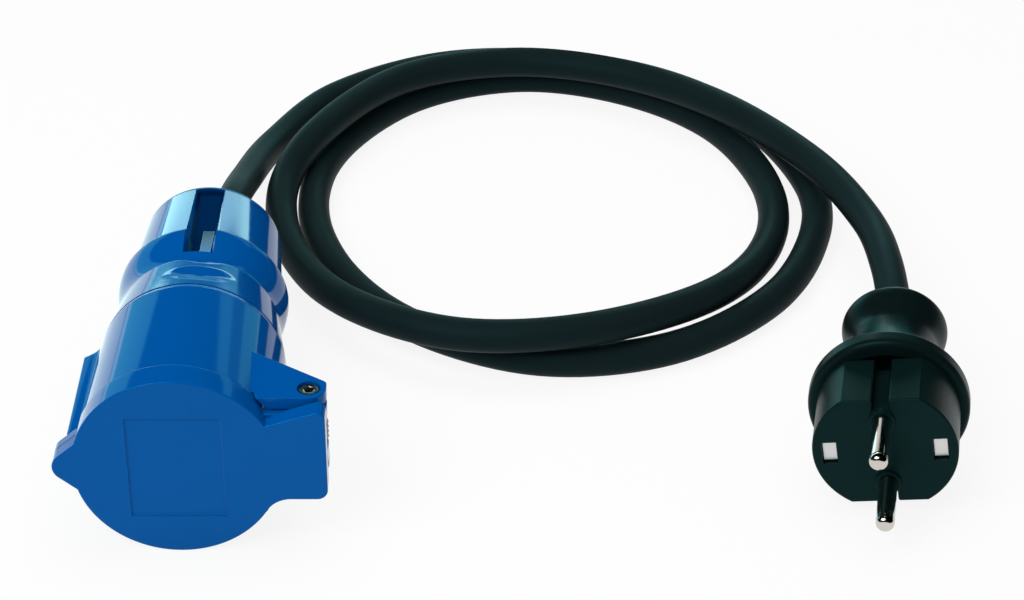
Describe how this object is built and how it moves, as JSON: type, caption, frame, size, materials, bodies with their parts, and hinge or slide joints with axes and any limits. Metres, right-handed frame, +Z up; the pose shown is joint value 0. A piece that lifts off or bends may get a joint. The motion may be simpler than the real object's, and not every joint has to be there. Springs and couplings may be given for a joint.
{
  "type": "pin and sleeve adapter",
  "caption": "Adapter lead: a round sleeve socket connector with a sprung hinged lid, joined by a looped rubber cable to an earthed round-pin household plug.",
  "frame": {"origin": "on the table, under the middle of the connector (the cable and the plug left out)", "axes": "+Y along the connector from its mouth to its gland, +Z up, +X toward the lid's hinge"},
  "size_m": [0.2342, 0.263, 0.052],
  "materials": {
    "shell_blue": "moulded, glossy",
    "insert_blue": "moulded",
    "contact_brass": "turned",
    "screw_steel": "zinc plated",
    "earth_steel": "plain strip",
    "seal_rubber": "moulded",
    "core_sheath": "extruded",
    "cable_rubber": "matt",
    "plug_rubber": "satin",
    "plug_moulding": "satin",
    "pin_nickel": "nickel plated"
  },
  "bodies": {
    "lead": {"barrel": "shell_blue", "handle": "shell_blue", "gland_nut": "shell_blue", "contact_insert": "insert_blue", "cord_clamp": "insert_blue", "earth_contact": "contact_brass", "line_contact": "contact_brass", "neutral_contact": "contact_brass", "terminal_screws": "screw_steel", "clamp_screws": "screw_steel", "plug_terminal_screws": "screw_steel", "plug_clamp_screws": "screw_steel", "hinge_pin": "screw_steel", "lid_spring": "screw_steel", "earth_strip": "earth_steel", "gland_ring": "seal_rubber", "connector_cores": "core_sheath", "plug_cores": "core_sheath", "cable": "cable_rubber", "plug_housing": "plug_rubber", "plug_insert": "plug_moulding", "plug_clamp_bar": "plug_moulding", "upper_pin": "pin_nickel", "lower_pin": "pin_nickel"},
    "lid": {"lid": "shell_blue", "lid_gasket": "seal_rubber"}
  },
  "joints": [
    {"name": "lid_hinge", "type": "hinge", "parent": "lead", "child": "lid", "pos_m": [0.02995, -0.0429, 0.0315], "axis": [0, 0, 1], "range_deg": [0, 100], "stiffness_Nm_per_rad": 0.02, "springref_deg": -45.84, "deforming": ["lid_spring"]}
  ]
}
